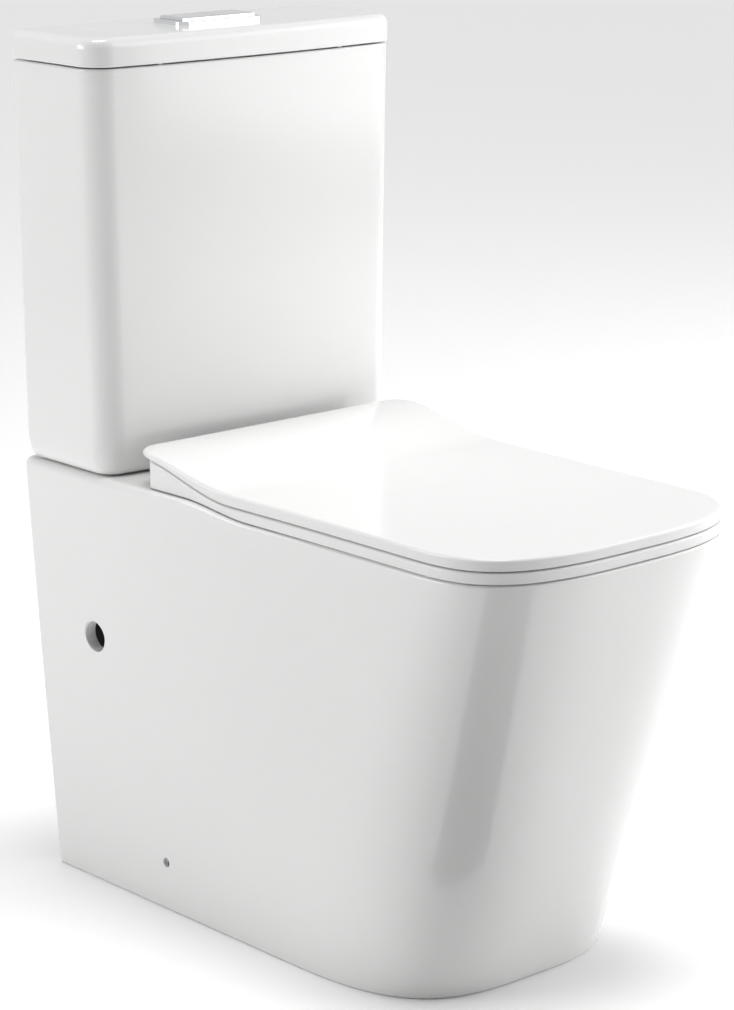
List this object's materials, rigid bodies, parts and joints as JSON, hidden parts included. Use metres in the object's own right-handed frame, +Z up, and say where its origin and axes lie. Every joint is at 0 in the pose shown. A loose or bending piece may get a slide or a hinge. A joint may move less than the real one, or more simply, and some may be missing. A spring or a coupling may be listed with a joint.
{
  "type": "close coupled toilet",
  "caption": "Back-to-wall close coupled toilet: skirted china pan, cistern with dual flush, hinged seat ring and lid.",
  "frame": {"origin": "centre of the footprint box, on the floor", "axes": "+Z up, the wall is at +Y, the user faces -Y, +X to the right seen from the front"},
  "size_m": [0.3732, 0.646, 0.845],
  "materials": {
    "ceramic": "gloss glaze",
    "seat_plastic": "gloss, moulded urea",
    "chrome": "bright plated",
    "valve_plastic": "satin moulded",
    "valve_blue": "satin moulded",
    "valve_grey": "satin moulded",
    "seal_rubber": "matte moulded",
    "pad_rubber": "soft matte",
    "brass": "turned",
    "stainless": "bright zinc and stainless"
  },
  "bodies": {
    "base": {"pan": "ceramic", "tank": "ceramic", "tank_pads": "pad_rubber", "tank_gasket": "seal_rubber", "flush_valve_base": "valve_plastic", "flush_valve_washer": "seal_rubber", "flush_valve_nut": "valve_plastic", "flush_tower": "valve_plastic", "tower_head": "valve_blue", "fill_valve_body": "valve_plastic", "fill_valve_washer": "seal_rubber", "fill_valve_nut": "valve_plastic", "fill_valve_head": "valve_blue", "refill_tube": "valve_grey", "tank_bolts": "brass", "tank_bolt_seals": "seal_rubber", "tank_bolt_washers": "stainless", "tank_bolt_cushions": "seal_rubber", "tank_wing_nuts": "brass", "hinge_posts": "chrome", "hinge_pins": "stainless", "hinge_studs": "stainless", "hinge_bushes": "seal_rubber", "hinge_washers": "stainless", "hinge_wing_nuts": "valve_plastic", "floor_brackets": "valve_plastic", "side_screws": "stainless"},
    "tank_cover": {"tank_lid": "ceramic", "tank_lid_buffers": "pad_rubber", "button_bezel": "chrome", "button_nut": "valve_plastic", "half_button_spring": "stainless", "full_button_spring": "stainless"},
    "full_button": {"full_flush_button": "chrome", "full_push_rod": "valve_plastic"},
    "half_button": {"half_flush_button": "chrome", "half_push_rod": "valve_plastic"},
    "full_valve_plunger": {"full_plunger": "valve_plastic"},
    "half_valve_plunger": {"half_plunger": "valve_blue"},
    "canister": {"overflow_tube": "valve_grey", "flush_seal": "seal_rubber"},
    "float": {"fill_float": "valve_grey", "float_rod": "stainless"},
    "lever": {"float_lever": "valve_plastic"},
    "ring": {"seat_ring": "seat_plastic", "ring_damper": "valve_grey", "seat_ring_bumpers": "pad_rubber"},
    "lid": {"seat_lid": "seat_plastic", "lid_damper": "valve_grey", "seat_lid_bumpers": "pad_rubber"}
  },
  "joints": [
    {"name": "seat_ring_hinge", "type": "hinge", "parent": "base", "child": "ring", "pos_m": [0, 0.152, 0.446], "axis": [1, 0, 0], "range_deg": [-94, 0]},
    {"name": "seat_lid_hinge", "type": "hinge", "parent": "ring", "child": "lid", "pos_m": [0, 0.152, 0.446], "axis": [-1, 0, 0], "range_deg": [0, 94]},
    {"name": "tank_lid_lift", "type": "slide", "parent": "base", "child": "tank_cover", "axis": [0, 0, 1], "range_m": [0, 0.11]},
    {"name": "full_flush_press", "type": "slide", "parent": "tank_cover", "child": "full_button", "axis": [0, 0, -1], "range_m": [0, 0.005], "stiffness_N_per_m": 900, "springref_m": -0.004, "deforming": ["full_button_spring"]},
    {"name": "half_flush_press", "type": "slide", "parent": "tank_cover", "child": "half_button", "axis": [0, 0, -1], "range_m": [0, 0.005], "stiffness_N_per_m": 900, "springref_m": -0.004, "deforming": ["half_button_spring"]},
    {"name": "full_plunger_press", "type": "slide", "parent": "base", "child": "full_valve_plunger", "axis": [0, 0, -1], "range_m": [0, 0.005]},
    {"name": "half_plunger_press", "type": "slide", "parent": "base", "child": "half_valve_plunger", "axis": [0, 0, -1], "range_m": [0, 0.005]},
    {"name": "flush_lift", "type": "slide", "parent": "base", "child": "canister", "axis": [0, 0, 1], "range_m": [0, 0.022]},
    {"name": "float_drop", "type": "slide", "parent": "base", "child": "float", "axis": [0, 0, -1], "range_m": [0, 0.008]},
    {"name": "float_lever_turn", "type": "hinge", "parent": "base", "child": "lever", "pos_m": [-0.115, 0.239, 0.728], "axis": [1, 0, 0], "range_deg": [-11.5, 0]}
  ],
  "couplings": [
    {"joint": "full_plunger_press", "follows": "full_flush_press", "ratio": 1},
    {"joint": "half_plunger_press", "follows": "half_flush_press", "ratio": 1},
    {"joint": "flush_lift", "follows": "full_flush_press", "ratio": 4.4},
    {"joint": "float_lever_turn", "follows": "float_drop", "rad_per_m": -24}
  ]
}
